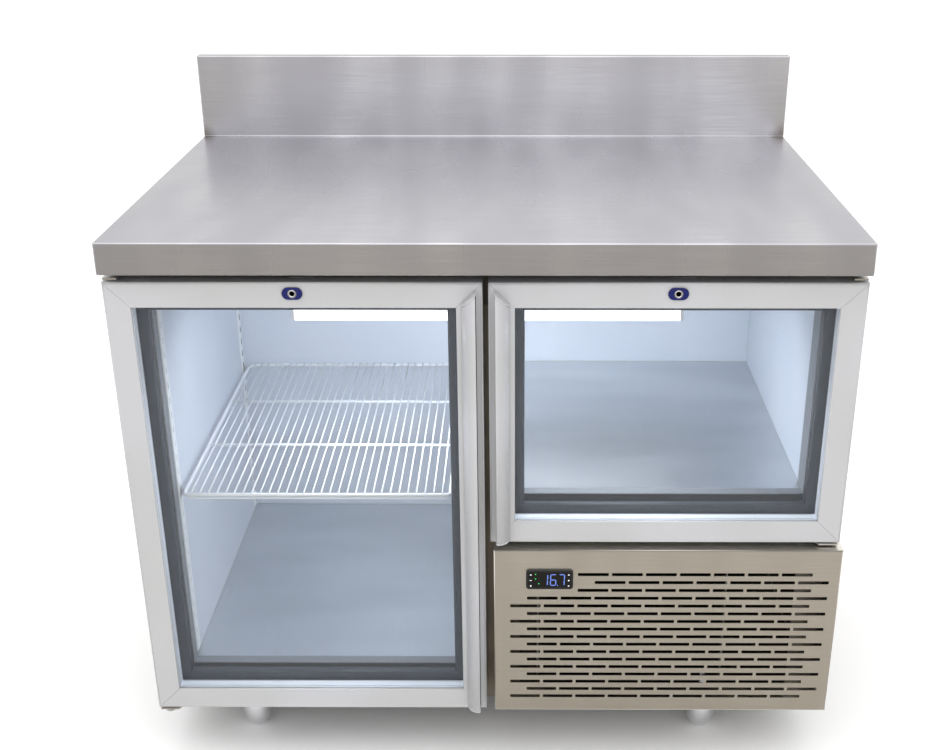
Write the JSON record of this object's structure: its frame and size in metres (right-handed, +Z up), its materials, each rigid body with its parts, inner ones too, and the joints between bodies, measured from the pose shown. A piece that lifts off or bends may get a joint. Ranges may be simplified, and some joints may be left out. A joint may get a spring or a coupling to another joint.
{
  "type": "undercounter refrigerator",
  "caption": "Free-standing stainless chiller counter with upstand, a tall and a short hinged glass door, lit interior with a wire shelf, slotted service cover and adjustable feet.",
  "frame": {"origin": "on the floor under the middle of the bounding box", "axes": "+Z up, -Y towards the user at the doors, +X to the user's right, along the worktop"},
  "size_m": [1.105, 0.7264, 1.055],
  "materials": {
    "stainless": "brushed",
    "foam": "rigid polyurethane foam",
    "liner": "gloss white coated",
    "coated_wire": "white powder coated",
    "bare_aluminium": "mill",
    "lamp_diffuser": "opal",
    "door_frame": "light grey powder coated",
    "glazing": "clear polished",
    "gasket_rubber": "matte",
    "lock_enamel": "gloss navy blue",
    "bright_chrome": "polished",
    "black_plastic": "moulded",
    "black_steel": "black painted"
  },
  "bodies": {
    "cabinet": {"worktop": "stainless", "left_side_panel": "stainless", "right_side_panel": "stainless", "rear_panel": "stainless", "base_panel": "stainless", "front_header": "stainless", "centre_mullion": "stainless", "right_sill": "stainless", "insulation": "foam", "liner_left_wall": "liner", "liner_right_wall": "liner", "liner_rear_wall": "liner", "liner_ceiling": "liner", "left_floor_plate": "stainless", "raised_floor": "stainless", "left_front_upright": "stainless", "left_rear_upright": "stainless", "lamp_housing": "bare_aluminium", "lamp_lens": "lamp_diffuser", "left_door_upper_hinge": "stainless", "left_door_lower_hinge": "stainless", "right_door_upper_hinge": "stainless", "right_door_lower_hinge": "stainless", "grille_panel": "stainless", "temperature_controller": "black_plastic", "evaporator_housing": "stainless", "evaporator_coil": "bare_aluminium", "condenser_coil": "bare_aluminium", "condenser_fan_housing": "black_steel", "compressor": "black_steel", "cable_gland": "black_plastic"},
    "left_door": {"left_door_hinge_stile": "door_frame", "left_door_handle_stile": "door_frame", "left_door_top_rail": "door_frame", "left_door_bottom_rail": "door_frame", "left_door_outer_pane": "glazing", "left_door_inner_pane": "glazing", "left_door_spacer": "bare_aluminium", "left_door_gasket": "gasket_rubber", "left_door_handle": "door_frame", "left_door_lock_case": "lock_enamel"},
    "right_door": {"right_door_hinge_stile": "door_frame", "right_door_handle_stile": "door_frame", "right_door_top_rail": "door_frame", "right_door_bottom_rail": "door_frame", "right_door_outer_pane": "glazing", "right_door_inner_pane": "glazing", "right_door_spacer": "bare_aluminium", "right_door_gasket": "gasket_rubber", "right_door_handle": "door_frame", "right_door_lock_case": "lock_enamel"},
    "left_lock": {"left_door_lock_plug": "bright_chrome"},
    "right_lock": {"right_door_lock_plug": "bright_chrome"},
    "shelf": {"wire_shelf": "coated_wire"},
    "evaporator_fan": {"evaporator_fan": "black_plastic"},
    "condenser_fan": {"condenser_fan": "black_plastic"},
    "left_front_foot": {"left_front_foot": "bright_chrome"},
    "right_front_foot": {"right_front_foot": "bright_chrome"},
    "left_rear_foot": {"left_rear_foot": "bright_chrome"},
    "right_rear_foot": {"right_rear_foot": "bright_chrome"}
  },
  "joints": [
    {"name": "left_door_hinge", "type": "hinge", "parent": "cabinet", "child": "left_door", "pos_m": [-0.5405, -0.31685, 0.4715], "axis": [0, 0, -1], "range_deg": [0, 110]},
    {"name": "right_door_hinge", "type": "hinge", "parent": "cabinet", "child": "right_door", "pos_m": [0.5355, -0.31685, 0.63], "axis": [0, 0, 1], "range_deg": [0, 110]},
    {"name": "left_lock_turn", "type": "hinge", "parent": "left_door", "child": "left_lock", "pos_m": [-0.2795, -0.33, 0.827], "axis": [0, -1, 0], "range_deg": [0, 90]},
    {"name": "right_lock_turn", "type": "hinge", "parent": "right_door", "child": "right_lock", "pos_m": [0.2745, -0.33, 0.827], "axis": [0, -1, 0], "range_deg": [0, 90]},
    {"name": "shelf_lift", "type": "slide", "parent": "cabinet", "child": "shelf", "axis": [0, 0, 1], "range_m": [0, 0.025]},
    {"name": "evaporator_fan_spin", "type": "hinge", "parent": "cabinet", "child": "evaporator_fan", "pos_m": [0.1775, 0.137, 0.722], "axis": [0, 1, 0], "continuous": true},
    {"name": "condenser_fan_spin", "type": "hinge", "parent": "cabinet", "child": "condenser_fan", "pos_m": [0.2375, -0.16, 0.2438], "axis": [0, 1, 0], "continuous": true},
    {"name": "left_front_foot_screw", "type": "slide", "parent": "cabinet", "child": "left_front_foot", "axis": [0, 0, -1], "range_m": [0, 0.02]},
    {"name": "right_front_foot_screw", "type": "slide", "parent": "cabinet", "child": "right_front_foot", "axis": [0, 0, -1], "range_m": [0, 0.02]},
    {"name": "left_rear_foot_screw", "type": "slide", "parent": "cabinet", "child": "left_rear_foot", "axis": [0, 0, -1], "range_m": [0, 0.02]},
    {"name": "right_rear_foot_screw", "type": "slide", "parent": "cabinet", "child": "right_rear_foot", "axis": [0, 0, -1], "range_m": [0, 0.02]}
  ]
}
